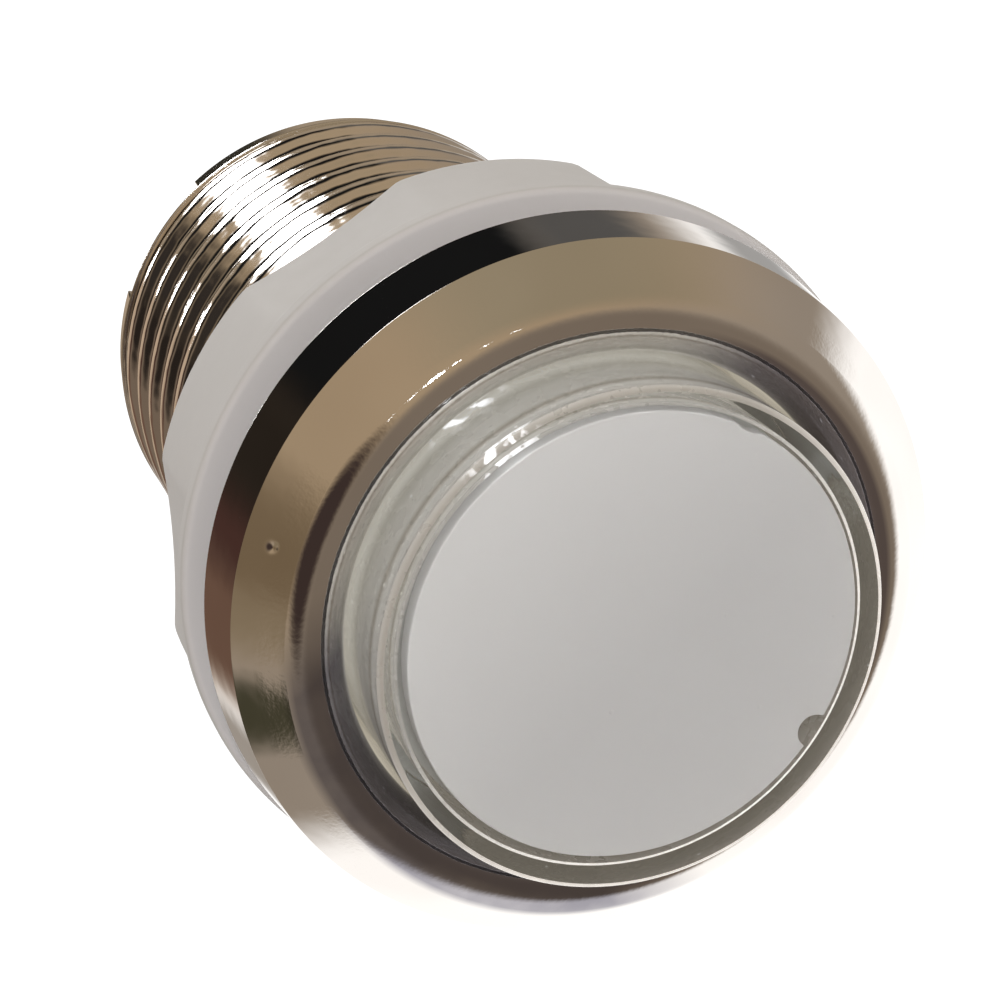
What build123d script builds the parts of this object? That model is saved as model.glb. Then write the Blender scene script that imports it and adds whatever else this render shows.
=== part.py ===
from build123d import *
import math
import os

# Illuminated arcade push button, in millimetres. Z is the button's axis, and +Z points out of the panel.
# The origin is on the axis, in the plane where the bezel sits on the panel.

# Plunger cap: the clear cup that the finger presses
cap_d = 23.1
cap_wall = 0.83
cap_window_t = 0.9
cap_edge_round = 0.25
cap_clear = 0.3
cap_reach = 5.4
cap_guide_l = 6.4
plunger_travel = 2.5

# Diffuser disc behind the window, with a half-round key in its edge
disc_clear = 0.32
disc_t = 1.0
disc_key_r = 0.8
disc_key_angle = 106

# Bezel: a flared skirt, a sloping face and a broad lip that rounds over into the bore
slope_w = 4.65
slope_rise = 5.0
lip_round = 1.6
skirt_h = 3.4
skirt_flare = 0.4
edge_round = 0.12

# Threaded barrel
barrel_l = 39.0
barrel_wall = 1.15
thread_pitch = 3.2
thread_h = 0.75
thread_crest_w = 0.8
thread_root_w = 2.2
thread_sink = 0.15
neck_l = 1.6
rear_land_l = 2.4
rear_land_rise = 0.05
rim_chamfer = 0.3
rim_notch_w = 7.0
rim_notch_depth = 1.6
rim_notch_angle = -75
rim_notch_count = 2
collar_w = 3.05
collar_t = 2.0

# Panel nut: a thin round flange and a grip of six hollowed flats
nut_gap = 2.4
nut_flange_t = 1.2
nut_flange_w = 3.65
nut_grip_h = 7.0
nut_grip_w = 3.25
nut_flat_w = 2.45
nut_flat_hollow_r = 40.0
nut_flat_count = 6
nut_flat_angle = -99.5
nut_corner_round = 3.0
nut_edge_round = 0.35
nut_clear = 0.2
nut_bore_chamfer = 0.4

# Carrier: the white tube that holds cap and disc, hooks under the collar and works the switch
carrier_clear = 0.25
carrier_neck_h = 1.5
carrier_neck_w = 1.0
carrier_flange_t = 1.2
stop_overlap = 0.4
stop_clear = 0.1
leg_clear = 0.3
leg_t = 0.9
leg_w = 4.0
leg_count = 3
leg_angle = -90
hook_overlap = 0.6
hook_clear = 0.05
hook_h = 1.3
pin_x = 3.0
pin_r = 0.9
pin_rib_h = 3.0

# Return spring between the carrier's flange and the collar
spring_l = 7.8
spring_wire_d = 0.8
spring_wire_sides = 8
spring_turns = 4
spring_clear = 0.05

# Insert: the holder that snaps into the barrel's rear and carries lamp and switch
insert_clear = 0.15
insert_wall = 1.4
insert_deck_t = 2.0
insert_recess = 0.6
bead_depth = 0.4
bead_h = 0.9
bead_clear = 0.1
bead_inset = 2.4
slit_w = 1.2
slit_l = 5.0
slit_count = 4
slit_angle = 45
post_r = 3.0
post_h = 8.0
cradle_w = 6.4
cradle_t = 1.0
cradle_h = 3.0
cradle_clear = 0.05
peg_r = 0.75
peg_l = 2.6
peg_pitch = 4.4
peg_rise = 1.2
slot_clear = 0.1

# Lamp: a round diode on the post, with straight leads down to two blade terminals
lamp_r = 2.5
lamp_rim_r = 2.9
lamp_rim_h = 1.0
lamp_h = 8.6
lead_t = 0.5
lead_pitch = 2.54
tab_w = 2.8
tab_t = 0.5
tab_l = 6.0
tab_x = 1.6
tab_y = -7.0

# Switch: a small snap switch with a hinged lever
switch_l = 10.4
switch_h = 6.0
switch_gap = 0.4
switch_wall = 0.6
switch_chamber_w = 3.2
switch_floor_h = 2.6
switch_headroom = 0.3
lever_t = 0.3
lever_w = 2.2
lever_l = 9.3
lever_reach = 8.0
lever_inset = 0.8
lever_rest_deg = 16.0
lever_hub_r = 0.65
lever_clear = 0.05
pivot_h = 1.0
pivot_pin_r = 0.3
ear_t = 0.4
ear_r = 0.7
ear_clear = 0.1
button_reach = 1.8
button_r = 0.5
button_w = 1.4
button_foot_w = 2.2
button_clear = 0.06
button_gap = 0.03
strip_t = 0.35
strip_w = 1.6
strip_gap = 0.15
blade_t = 0.25
blade_w = 1.2
blade_tail = 0.35
blade_seat = 0.5
blade_seat_gap = 0.1
contact_r = 0.4
contact_h = 0.25
rivet_h = 0.7
rivet_gap = 0.02
terminal_tail = 4.5

# Radii, worked out from the cap outwards
cap_r = cap_d / 2
cap_inner_r = cap_r - cap_wall
bore_r = cap_r + cap_clear
edge_r = bore_r + slope_w
seat_r = edge_r + skirt_flare
root_r = bore_r + barrel_wall
crest_r = root_r + thread_h
land_r = crest_r + rear_land_rise
collar_r = bore_r - collar_w
disc_r = cap_inner_r - disc_clear
carrier_r = cap_inner_r - carrier_clear
stop_r = collar_r + stop_overlap
leg_r = collar_r - leg_clear
carrier_bore_r = leg_r - leg_t
hook_r = collar_r + hook_overlap
spring_r = (stop_r + bore_r) / 2
nut_bore_r = crest_r + nut_clear
insert_r = bore_r - insert_clear
insert_inner_r = insert_r - insert_wall
bead_r = bore_r + bead_depth

# Heights, worked out from the seat upwards and downwards
edge_z = skirt_h
lip_z = edge_z + slope_rise
rim_z = -barrel_l
land_z = rim_z + rear_land_l
nut_z = -nut_gap
nut_grip_z = nut_z - nut_flange_t
nut_rear_z = nut_grip_z - nut_grip_h
cap_front_z = edge_z + cap_reach
window_z = cap_front_z - cap_window_t
disc_rear_z = window_z - disc_t
shoulder_z = disc_rear_z - carrier_neck_h
cap_rear_z = edge_z - cap_guide_l
flange_z = cap_rear_z - carrier_flange_t
collar_z = flange_z - spring_l
collar_rear_z = collar_z - collar_t
stop_z = collar_z + plunger_travel + stop_clear
hook_z = collar_rear_z - hook_clear
hook_rear_z = hook_z - hook_h
switch_top_z = hook_rear_z - plunger_travel - switch_headroom - pivot_h - ear_r
switch_z = switch_top_z - switch_h
deck_z = switch_z
deck_rear_z = deck_z - insert_deck_t
insert_rear_z = rim_z + insert_recess
bead_z = insert_rear_z + bead_inset
post_z = deck_z + post_h

# Places across the switch, along X from its middle and along Y from its inner face
switch_y = post_r + switch_gap
chamber_y = switch_y + switch_wall
cover_y = chamber_y + switch_chamber_w
cradle_y = cover_y + switch_wall + cradle_clear
pin_y = chamber_y + switch_chamber_w / 2
pivot_x = lever_inset - switch_l / 2
switch_x = pin_x - pivot_x - lever_reach
button_x = pivot_x + button_reach
pivot_z = switch_h + pivot_h
chamber_top = switch_h - switch_wall
chamber_half = switch_l / 2 - switch_wall
contact_x = strip_t + strip_gap + contact_r - chamber_half
blade_pivot_x = chamber_half - strip_t - blade_tail

# The lever's swing: the round tip of the carrier's pin rides on its top face, the button under it
pin_stack = lever_t / 2 + pin_r + lever_clear
lever_rest = math.radians(lever_rest_deg)
pin_height = lever_reach * math.tan(lever_rest) + pin_stack / math.cos(lever_rest)
pressed_height = pin_height - plunger_travel
pressed_line = math.hypot(lever_reach, pressed_height)
lever_end = math.atan2(pressed_height, lever_reach) - math.asin(pin_stack / pressed_line)
pin_tip_z = switch_z + pivot_z + pin_height - pin_r

button_stack = lever_t / 2 + button_r + button_gap
button_height = button_reach * math.tan(lever_rest) - button_stack / math.cos(lever_rest)
button_end = button_reach * math.tan(lever_end) - button_stack / math.cos(lever_end)
button_travel = button_height - button_end
button_top = pivot_z + button_height

# The blade's levels in the chamber, from the closed contact at the top to the open one below
closed_strip_z = chamber_top - strip_t
rivet_top = closed_strip_z - contact_h - rivet_gap
blade_z = rivet_top - rivet_h / 2
blade_angle = button_travel / (blade_pivot_x - button_x)
contact_travel = blade_angle * (blade_pivot_x - contact_x)
open_contact_z = rivet_top - rivet_h - contact_travel - rivet_gap
button_foot_z = blade_z + blade_t / 2 + button_gap
blade_seat_z = blade_z - blade_t / 2 - blade_seat_gap

level_tol = 0.01


def rings_at(part, z):
    """Round edges of a part in the plane at height z."""
    rings = part.edges().filter_by(GeomType.CIRCLE)
    return rings.filter_by_position(Axis.Z, z - level_tol, z + level_tol)


def switch_plane(y):
    """Upright plane at a given Y, with its origin at the switch's bottom middle."""
    return Plane(origin=(switch_x, y, switch_z), x_dir=(1, 0, 0), z_dir=(0, -1, 0))


def strip_plane(width):
    """Upright plane for a strip of this width, centred across the switch's chamber."""
    return switch_plane(pin_y - width / 2)


# Housing: bezel, collar and threaded barrel in one plated moulding
with BuildPart() as housing:
    with BuildSketch(Plane.XZ):
        with BuildLine():
            Polyline(
                (bore_r, lip_z),
                (edge_r, edge_z),
                (seat_r, 0),
                (root_r, 0),
                (root_r, rim_z),
                (bore_r, rim_z),
                (bore_r, collar_rear_z),
                (collar_r, collar_rear_z),
                (collar_r, collar_z),
                (bore_r, collar_z),
                close=True,
            )
        make_face()
    revolve(axis=Axis.Z)
    fillet(rings_at(housing, lip_z), lip_round)
    fillet(rings_at(housing, edge_z), edge_round)
    # Plain land at the rear end of the thread
    with BuildSketch(Plane.XY.offset(rim_z)):
        Circle(land_r)
        Circle(bore_r, mode=Mode.SUBTRACT)
    extrude(amount=rear_land_l)
    chamfer(rings_at(housing, rim_z).sort_by(SortBy.RADIUS)[-1], rim_chamfer)
    # One helical ridge, which grows out of the land and ends at the neck under the bezel
    thread_z = land_z - thread_root_w / 2
    with BuildLine() as thread_path:
        Helix(
            pitch=thread_pitch,
            height=-neck_l - thread_root_w / 2 - thread_z,
            radius=root_r,
            center=(0, 0, thread_z),
        )
    thread_start = Plane(origin=thread_path.line @ 0, x_dir=(1, 0, 0), z_dir=thread_path.line % 0)
    thread_foot_w = thread_root_w + thread_sink * (thread_root_w - thread_crest_w) / thread_h
    with BuildSketch(thread_start):
        with BuildLine():
            Polyline(
                (-thread_sink, -thread_foot_w / 2),
                (thread_h, -thread_crest_w / 2),
                (thread_h, thread_crest_w / 2),
                (-thread_sink, thread_foot_w / 2),
                close=True,
            )
        make_face()
    sweep(path=thread_path.line, is_frenet=True)
    # Groove inside for the insert's bead
    with BuildSketch(Plane.XY.offset(bead_z - bead_clear)):
        Circle(bead_r)
        Circle(collar_r, mode=Mode.SUBTRACT)
    extrude(amount=bead_h + 2 * bead_clear, mode=Mode.SUBTRACT)
    # Notches in the rear rim
    with BuildSketch(Plane.XY.offset(rim_z)):
        with PolarLocations(root_r, rim_notch_count, start_angle=rim_notch_angle):
            Rectangle(2 * collar_w, rim_notch_w)
    extrude(amount=rim_notch_depth, mode=Mode.SUBTRACT)

# Panel nut
with BuildPart() as panel_nut:
    with BuildSketch(Plane.XY.offset(nut_z)):
        Circle(crest_r + nut_flange_w)
    extrude(amount=-nut_flange_t)
    fillet(panel_nut.edges(), nut_edge_round)
    with BuildSketch(Plane.XY.offset(nut_grip_z)) as grip:
        Circle(crest_r + nut_grip_w)
        hollow_reach = crest_r + nut_flat_w + nut_flat_hollow_r
        with PolarLocations(hollow_reach, nut_flat_count, start_angle=nut_flat_angle):
            Circle(nut_flat_hollow_r, mode=Mode.SUBTRACT)
        fillet(grip.vertices(), nut_corner_round)
    extrude(amount=-nut_grip_h)
    fillet(panel_nut.faces().sort_by(Axis.Z)[0].edges(), nut_edge_round)
    with BuildSketch(Plane.XZ):
        with BuildLine():
            Polyline(
                (0, nut_z),
                (nut_bore_r + nut_bore_chamfer, nut_z),
                (nut_bore_r, nut_z - nut_bore_chamfer),
                (nut_bore_r, nut_rear_z + nut_bore_chamfer),
                (nut_bore_r + nut_bore_chamfer, nut_rear_z),
                (0, nut_rear_z),
                close=True,
            )
        make_face()
    revolve(axis=Axis.Z, mode=Mode.SUBTRACT)

# Plunger cap
with BuildPart() as plunger_cap:
    with BuildSketch(Plane.XY.offset(cap_rear_z)):
        Circle(cap_r)
    extrude(amount=cap_front_z - cap_rear_z)
    fillet(rings_at(plunger_cap, cap_front_z), cap_edge_round)
    with BuildSketch(Plane.XY.offset(cap_rear_z)):
        Circle(cap_inner_r)
    extrude(amount=window_z - cap_rear_z, mode=Mode.SUBTRACT)

# Diffuser disc
with BuildPart() as diffuser_disc:
    with BuildSketch(Plane.XY.offset(disc_rear_z)):
        Circle(disc_r)
        with PolarLocations(disc_r, 1, start_angle=disc_key_angle):
            Circle(disc_key_r, mode=Mode.SUBTRACT)
    extrude(amount=disc_t)

# Plunger carrier
with BuildPart() as plunger_carrier:
    with BuildSketch(Plane.XZ):
        with BuildLine():
            Polyline(
                (carrier_bore_r, disc_rear_z),
                (carrier_r - carrier_neck_w, disc_rear_z),
                (carrier_r - carrier_neck_w, shoulder_z),
                (carrier_r, shoulder_z),
                (carrier_r, cap_rear_z),
                (cap_r, cap_rear_z),
                (cap_r, flange_z),
                (stop_r, flange_z),
                (stop_r, stop_z),
                (carrier_bore_r, stop_z),
                close=True,
            )
        make_face()
    revolve(axis=Axis.Z)
    # Legs through the collar, each with a hook under it
    with BuildSketch(Plane.XY.offset(hook_rear_z)):
        with PolarLocations(0, leg_count, start_angle=leg_angle):
            Rectangle(hook_r, leg_w, align=(Align.MIN, Align.CENTER))
        Circle(leg_r, mode=Mode.INTERSECT)
        Circle(carrier_bore_r, mode=Mode.SUBTRACT)
    extrude(amount=stop_z - hook_rear_z)
    with BuildSketch(Plane.XY.offset(hook_rear_z)):
        with PolarLocations(0, leg_count, start_angle=leg_angle):
            Rectangle(hook_r, leg_w, align=(Align.MIN, Align.CENTER))
        Circle(hook_r, mode=Mode.INTERSECT)
        Circle(carrier_bore_r, mode=Mode.SUBTRACT)
    extrude(amount=hook_h)
    # Pin that presses the switch's lever, and the rib that joins it to the tube
    pin_reach = math.hypot(pin_x, pin_y)
    pin_angle = math.degrees(math.atan2(pin_y, pin_x))
    with BuildSketch(Plane.XY.offset(stop_z)):
        with PolarLocations(pin_reach, 1, start_angle=pin_angle):
            Rectangle(carrier_bore_r + leg_t / 2 - pin_reach, 2 * pin_r, align=(Align.MIN, Align.CENTER))
            Circle(pin_r)
    extrude(amount=pin_rib_h)
    with BuildSketch(Plane.XY.offset(pin_tip_z + pin_r)):
        with Locations((pin_x, pin_y)):
            Circle(pin_r)
    extrude(amount=stop_z - pin_tip_z - pin_r)
    with Locations((pin_x, pin_y, pin_tip_z + pin_r)):
        Sphere(pin_r)

# Return spring
with BuildPart() as return_spring:
    coil_h = spring_l - spring_wire_d - 2 * spring_clear
    with BuildLine() as coil:
        Helix(
            pitch=coil_h / spring_turns,
            height=coil_h,
            radius=spring_r,
            center=(0, 0, collar_z + spring_clear + spring_wire_d / 2),
        )
    with BuildSketch(Plane(origin=coil.line @ 0, z_dir=coil.line % 0)):
        RegularPolygon(spring_wire_d / 2, spring_wire_sides, major_radius=False)
    sweep(path=coil.line, is_frenet=True)

# Insert base: deck and slit skirt with a snap bead, lamp post, and a cradle with two pegs for the switch
with BuildPart() as insert_base:
    with BuildSketch(Plane.XZ):
        with BuildLine():
            Polyline(
                (0, deck_z),
                (insert_r, deck_z),
                (insert_r, bead_z + bead_h),
                (bead_r - bead_clear, bead_z + bead_h),
                (bead_r - bead_clear, bead_z + bead_h / 2),
                (insert_r, bead_z),
                (insert_r, insert_rear_z),
                (insert_inner_r, insert_rear_z),
                (insert_inner_r, deck_rear_z),
                (0, deck_rear_z),
                close=True,
            )
        make_face()
    revolve(axis=Axis.Z)
    with BuildSketch(Plane.XY.offset(insert_rear_z)):
        with PolarLocations(insert_r, slit_count, start_angle=slit_angle):
            Rectangle(4 * insert_wall, slit_w)
    extrude(amount=slit_l, mode=Mode.SUBTRACT)
    with BuildSketch(Plane.XY.offset(deck_z)):
        Circle(post_r)
    extrude(amount=post_h)
    with BuildSketch(Plane.XY.offset(deck_z)):
        with Locations((switch_x, cradle_y)):
            Rectangle(cradle_w, cradle_t, align=(Align.CENTER, Align.MIN))
    extrude(amount=cradle_h)
    with BuildSketch(switch_plane(cradle_y)):
        with Locations((-peg_pitch / 2, peg_rise), (peg_pitch / 2, peg_rise)):
            Circle(peg_r)
    extrude(amount=peg_l)
    # Ways for the lamp's leads and the switch's terminals
    with BuildSketch(Plane.XY.offset(deck_rear_z)):
        with Locations((-lead_pitch / 2, 0), (lead_pitch / 2, 0)):
            Rectangle(lead_t + slot_clear, lead_t + slot_clear)
    extrude(amount=post_z - deck_rear_z, mode=Mode.SUBTRACT)
    with BuildSketch(Plane.XY.offset(deck_rear_z)):
        outer_tail_x = chamber_half - strip_t / 2
        with Locations(*[(switch_x + x, pin_y) for x in (-outer_tail_x, 0, outer_tail_x)]):
            Rectangle(strip_t + slot_clear, strip_w + slot_clear)
    extrude(amount=insert_deck_t, mode=Mode.SUBTRACT)

# Lamp: the diode's clear body
with BuildPart() as lamp_lens:
    with BuildSketch(Plane.XY.offset(post_z)):
        Circle(lamp_rim_r)
    extrude(amount=lamp_rim_h)
    with BuildSketch(Plane.XY.offset(post_z)):
        Circle(lamp_r)
    extrude(amount=lamp_h - lamp_r)
    with Locations((0, 0, post_z + lamp_h - lamp_r)):
        Sphere(lamp_r)


def lamp_lead(side):
    """Straight lead from the lamp down to its terminal, on one side of the axis."""
    with BuildPart() as lead:
        with BuildSketch(Plane.XY.offset(deck_rear_z)):
            with Locations((side * lead_pitch / 2, 0)):
                Rectangle(lead_t, lead_t)
        extrude(amount=post_z - deck_rear_z)
    return lead


def lamp_terminal(side):
    """Bent blade terminal: a foot under the deck, soldered to the lead, and a tab to the rear."""
    foot_x = side * (lead_pitch - lead_t) / 2
    tab_far_x = side * (tab_x + tab_w)
    with BuildPart() as terminal:
        with BuildSketch(Plane.XY.offset(deck_rear_z)):
            with BuildLine():
                Polyline(
                    (foot_x, lead_t / 2),
                    (tab_far_x, lead_t / 2),
                    (tab_far_x, tab_y),
                    (side * tab_x, tab_y),
                    (side * tab_x, -lead_t),
                    (foot_x, -lead_t),
                    close=True,
                )
            make_face()
        extrude(amount=-tab_t)
        with BuildSketch(Plane.XY.offset(deck_rear_z)):
            with Locations((side * (tab_x + tab_w / 2), tab_y)):
                Rectangle(tab_w, tab_t, align=(Align.CENTER, Align.MIN))
        extrude(amount=-tab_t - tab_l)
    return terminal


lamp_lead_left = lamp_lead(-1)
lamp_lead_right = lamp_lead(1)
lamp_terminal_left = lamp_terminal(-1)
lamp_terminal_right = lamp_terminal(1)

# Switch case: a block with a chamber open to +Y, terminal slots, peg holes and two ears with the lever's pin
with BuildPart() as switch_case:
    with BuildSketch(switch_plane(switch_y)):
        Rectangle(switch_l, switch_h, align=(Align.CENTER, Align.MIN))
    extrude(amount=switch_y - cover_y)
    with BuildSketch(switch_plane(chamber_y)):
        with Locations((0, switch_floor_h)):
            Rectangle(2 * chamber_half, chamber_top - switch_floor_h, align=(Align.CENTER, Align.MIN))
    extrude(amount=chamber_y - cover_y, mode=Mode.SUBTRACT)
    with BuildSketch(switch_plane(switch_y)):
        with Locations((-peg_pitch / 2, peg_rise), (peg_pitch / 2, peg_rise)):
            Circle(peg_r + slot_clear / 2)
    extrude(amount=switch_y - cover_y, mode=Mode.SUBTRACT)
    with BuildSketch(strip_plane(strip_w)):
        with Locations((strip_t / 2 - chamber_half, 0), (0, 0), (chamber_half - strip_t / 2, 0)):
            Rectangle(strip_t, switch_floor_h, align=(Align.CENTER, Align.MIN))
    extrude(amount=-strip_w, mode=Mode.SUBTRACT)
    with BuildSketch(strip_plane(button_w + 2 * button_clear)):
        with Locations((button_x, chamber_top)):
            Rectangle(2 * (button_r + button_clear), switch_wall, align=(Align.CENTER, Align.MIN))
    extrude(amount=-button_w - 2 * button_clear, mode=Mode.SUBTRACT)
    ear_inner = lever_w / 2 + ear_clear
    for ear_y in (pin_y - ear_inner - ear_t, pin_y + ear_inner):
        with BuildSketch(switch_plane(ear_y)):
            with Locations((pivot_x, switch_h)):
                Rectangle(2 * ear_r, pivot_h, align=(Align.CENTER, Align.MIN))
            with Locations((pivot_x, pivot_z)):
                Circle(ear_r)
        extrude(amount=-ear_t)
    with BuildSketch(strip_plane(2 * ear_inner)):
        with Locations((pivot_x, pivot_z)):
            Circle(pivot_pin_r)
    extrude(amount=-2 * ear_inner)

# Switch cover: the side plate that closes the chamber
with BuildPart() as switch_cover:
    with BuildSketch(switch_plane(cover_y)):
        Rectangle(switch_l, switch_h, align=(Align.CENTER, Align.MIN))
        with Locations((-peg_pitch / 2, peg_rise), (peg_pitch / 2, peg_rise)):
            Circle(peg_r + slot_clear / 2, mode=Mode.SUBTRACT)
    extrude(amount=-switch_wall)

# Switch lever: a spring-steel strip with a rolled eye round the case's pin
with BuildPart() as switch_lever:
    with BuildSketch(strip_plane(lever_w)):
        with Locations((pivot_x, pivot_z)):
            Circle(lever_hub_r)
            Rectangle(lever_l, lever_t, rotation=lever_rest_deg, align=(Align.MIN, Align.CENTER))
            Circle(pivot_pin_r + lever_clear, mode=Mode.SUBTRACT)
    extrude(amount=-lever_w)

# Switch button: a round-topped slider with a foot that keeps it in the case
with BuildPart() as switch_button:
    with BuildSketch(strip_plane(button_w)):
        with Locations((button_x, button_foot_z)):
            Rectangle(2 * button_r, button_top - button_foot_z, align=(Align.CENTER, Align.MIN))
        with Locations((button_x, button_top)):
            Circle(button_r)
    extrude(amount=-button_w)
    with BuildSketch(strip_plane(button_foot_w)):
        with Locations((button_x, button_foot_z)):
            Rectangle(
                2 * button_r,
                chamber_top - button_clear - button_foot_z,
                align=(Align.CENTER, Align.MIN),
            )
    extrude(amount=-button_foot_w)

# Switch blade: the moving contact, with a rivet through its free end
with BuildPart() as switch_blade:
    with BuildSketch(strip_plane(blade_w)):
        with Locations((blade_pivot_x + blade_tail, blade_z)):
            Rectangle(
                blade_pivot_x + blade_tail - contact_x + contact_r,
                blade_t,
                align=(Align.MAX, Align.CENTER),
            )
    extrude(amount=-blade_w)
    with BuildSketch(Plane.XY.offset(switch_z + blade_z - rivet_h / 2)):
        with Locations((switch_x + contact_x, pin_y)):
            Circle(contact_r)
    extrude(amount=rivet_h)

# Common terminal: a riser at the switch's far end with the seat that the blade rocks on
with BuildPart() as switch_terminal_common:
    with BuildSketch(strip_plane(strip_w)):
        with Locations((chamber_half, -insert_deck_t - terminal_tail)):
            Rectangle(strip_t, blade_seat_z + insert_deck_t + terminal_tail, align=(Align.MAX, Align.MIN))
        with Locations((chamber_half, blade_seat_z)):
            Rectangle(
                chamber_half - blade_pivot_x + blade_seat,
                strip_t,
                align=(Align.MAX, Align.MAX),
            )
    extrude(amount=-strip_w)

# Normally open terminal: a riser in the middle, a strip on the chamber's floor and a contact under the rivet
with BuildPart() as switch_terminal_open:
    with BuildSketch(strip_plane(strip_w)):
        with Locations((0, -insert_deck_t - terminal_tail)):
            Rectangle(
                strip_t,
                switch_floor_h + strip_t + insert_deck_t + terminal_tail,
                align=(Align.CENTER, Align.MIN),
            )
        with Locations((strip_t / 2, switch_floor_h)):
            Rectangle(strip_t / 2 - contact_x + contact_r, strip_t, align=(Align.MAX, Align.MIN))
    extrude(amount=-strip_w)
    with BuildSketch(Plane.XY.offset(switch_z + switch_floor_h)):
        with Locations((switch_x + contact_x, pin_y)):
            Circle(contact_r)
    extrude(amount=open_contact_z - switch_floor_h)

# Normally closed terminal: a riser at the near end, a strip under the top and a contact over the rivet
with BuildPart() as switch_terminal_closed:
    with BuildSketch(strip_plane(strip_w)):
        with Locations((-chamber_half, -insert_deck_t - terminal_tail)):
            Rectangle(strip_t, chamber_top + insert_deck_t + terminal_tail, align=(Align.MIN, Align.MIN))
        with Locations((-chamber_half, closed_strip_z)):
            Rectangle(chamber_half + contact_x + contact_r, strip_t, align=(Align.MIN, Align.MIN))
    extrude(amount=-strip_w)
    with BuildSketch(Plane.XY.offset(switch_z + closed_strip_z)):
        with Locations((switch_x + contact_x, pin_y)):
            Circle(contact_r)
    extrude(amount=-contact_h)

# The joints' figures that follow from the sizes
print("lever pivot", switch_x + pivot_x, pin_y, switch_z + pivot_z)
print("lever swing in degrees", math.degrees(lever_rest - lever_end))
print("button travel", button_travel)
print("blade pivot", switch_x + blade_pivot_x, pin_y, switch_z + blade_z)
print("blade swing in degrees", math.degrees(blade_angle))
print("collar", collar_z, "flange", flange_z, "deck rear", deck_rear_z, "cap front", cap_front_z)

pieces = {
    "housing": housing,
    "panel_nut": panel_nut,
    "plunger_cap": plunger_cap,
    "diffuser_disc": diffuser_disc,
    "plunger_carrier": plunger_carrier,
    "return_spring": return_spring,
    "insert_base": insert_base,
    "lamp_lens": lamp_lens,
    "lamp_lead_left": lamp_lead_left,
    "lamp_lead_right": lamp_lead_right,
    "lamp_terminal_left": lamp_terminal_left,
    "lamp_terminal_right": lamp_terminal_right,
    "switch_case": switch_case,
    "switch_cover": switch_cover,
    "switch_lever": switch_lever,
    "switch_button": switch_button,
    "switch_blade": switch_blade,
    "switch_terminal_common": switch_terminal_common,
    "switch_terminal_open": switch_terminal_open,
    "switch_terminal_closed": switch_terminal_closed,
}

os.makedirs("parts", exist_ok=True)
for name, piece in pieces.items():
    piece.part.label = name
    export_step(piece.part, f"parts/{name}.step")
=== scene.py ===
import math

import bmesh
import bpy
from mathutils import Matrix, Vector


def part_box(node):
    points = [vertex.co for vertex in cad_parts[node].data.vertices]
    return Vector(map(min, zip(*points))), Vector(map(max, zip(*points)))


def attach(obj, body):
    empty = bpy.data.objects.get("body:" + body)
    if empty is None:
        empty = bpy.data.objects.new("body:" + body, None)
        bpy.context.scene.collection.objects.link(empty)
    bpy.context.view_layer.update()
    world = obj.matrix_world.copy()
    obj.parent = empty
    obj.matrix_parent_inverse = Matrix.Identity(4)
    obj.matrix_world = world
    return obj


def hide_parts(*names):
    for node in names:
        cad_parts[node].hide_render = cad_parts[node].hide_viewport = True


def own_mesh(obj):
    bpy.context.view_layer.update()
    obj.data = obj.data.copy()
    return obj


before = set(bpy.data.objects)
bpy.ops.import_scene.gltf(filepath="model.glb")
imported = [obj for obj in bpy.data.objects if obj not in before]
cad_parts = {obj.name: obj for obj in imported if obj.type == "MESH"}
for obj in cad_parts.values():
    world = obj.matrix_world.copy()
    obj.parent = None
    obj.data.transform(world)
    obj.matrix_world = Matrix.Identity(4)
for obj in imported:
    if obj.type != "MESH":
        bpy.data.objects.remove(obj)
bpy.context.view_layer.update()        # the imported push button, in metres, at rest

# Sizes in millimetres. MM turns them into Blender's metres.
MM = 0.001


def box_mm(node):
    """Lowest and highest corner of a node, in millimetres."""
    low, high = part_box(node)
    return low / MM, high / MM


housing_low, housing_high = box_mm("housing")
nut_low, nut_high = box_mm("panel_nut")
cap_low, cap_high = box_mm("plunger_cap")
disc_low, disc_high = box_mm("diffuser_disc")
spring_low, spring_high = box_mm("return_spring")

# Plunger. A window is the half width and the step of a finer run of columns, in degrees.
CAP_R = cap_high.x
CAP_WALL = 0.83
WINDOW_T = 0.9
CAP_EDGE_ROUND = 0.25
CAP_CORNER_ROUND = 0.16
CAP_REAR_ROUND = 0.1
CAP_COLUMNS = 240
DISC_CLEARANCE = 0.1
DISC_R = disc_high.x - DISC_CLEARANCE
DISC_EDGE_ROUND = 0.08
DISC_COLUMNS = 180
DISC_SHIFT = (-0.14, 0.12)
DISC_CHIP_ANGLE = -159.0
DISC_CHIP_WIDTH = 3.0
DISC_CHIP_DEPTH = 0.16
DISC_CHIP_WINDOW = (5.0, 0.5)
DISC_KEY_R = 0.8
DISC_KEY_ANGLE = 106.0
DISC_KEY_WINDOW = (4.6, 0.2)
DISC_GAP = 0.03

# Bezel and barrel
CAP_CLEARANCE = 0.3
BORE_R = CAP_R + CAP_CLEARANCE
BEZEL_WIDTH = 4.65
EDGE_R = BORE_R + BEZEL_WIDTH
SEAT_R = housing_high.x
EDGE_Z = 3.4
SLOPE_RISE = 5.0
LIP_ROUND = 1.6
BARREL_WALL = 1.15
ROOT_R = BORE_R + BARREL_WALL
RIM_Z = housing_low.z
LAND_L = 2.4
LAND_Z = RIM_Z + LAND_L
COLLAR_WIDTH = 3.05
COLLAR_R = BORE_R - COLLAR_WIDTH
COLLAR_Z = -12.0
COLLAR_T = 2.0
COLLAR_REAR_Z = COLLAR_Z - COLLAR_T
GROOVE_DEPTH = 0.4
GROOVE_R = BORE_R + GROOVE_DEPTH
GROOVE_RISE = 2.9
GROOVE_Z = RIM_Z + GROOVE_RISE
GROOVE_H = 1.1
GROOVE_ROUND = 0.05
SOFT_EDGE = 0.12
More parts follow.
